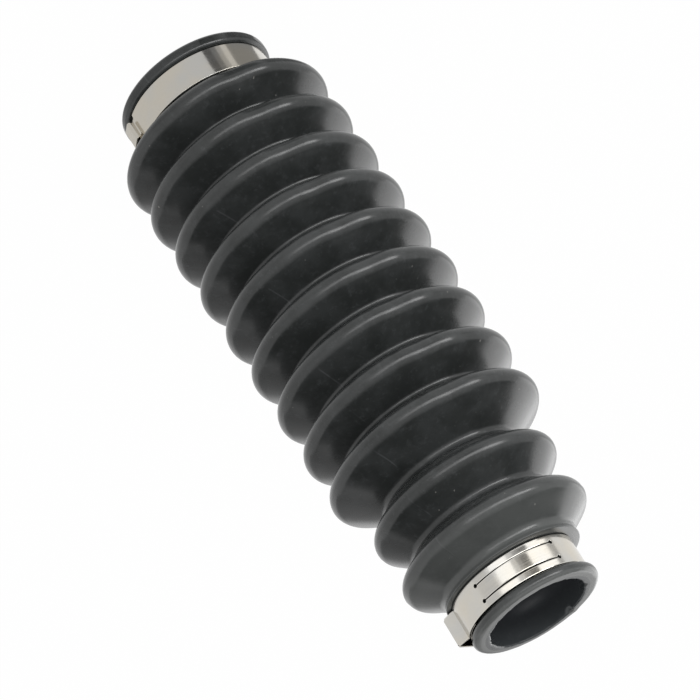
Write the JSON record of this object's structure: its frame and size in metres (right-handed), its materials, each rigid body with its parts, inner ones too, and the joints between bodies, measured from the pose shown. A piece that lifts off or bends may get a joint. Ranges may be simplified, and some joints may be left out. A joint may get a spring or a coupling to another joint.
{
  "type": "fork gaiter bellows",
  "caption": "Moulded rubber bellows that steps down to a smaller end, with a folded stainless strip clamp round the collar at each end.",
  "frame": {"origin": "middle of the large end's face, where it stands", "axes": "+Z along the bellows' axis, from the large end to the small end; -Y faces the picture's camera"},
  "size_m": [0.072, 0.072, 0.2126],
  "materials": {
    "rubber": "moulded, satin",
    "strip_steel": "rolled stainless strip, bright"
  },
  "bodies": {
    "root": {"bellows": "rubber", "large_end_clamp": "strip_steel", "small_end_clamp": "strip_steel"}
  },
  "joints": []
}
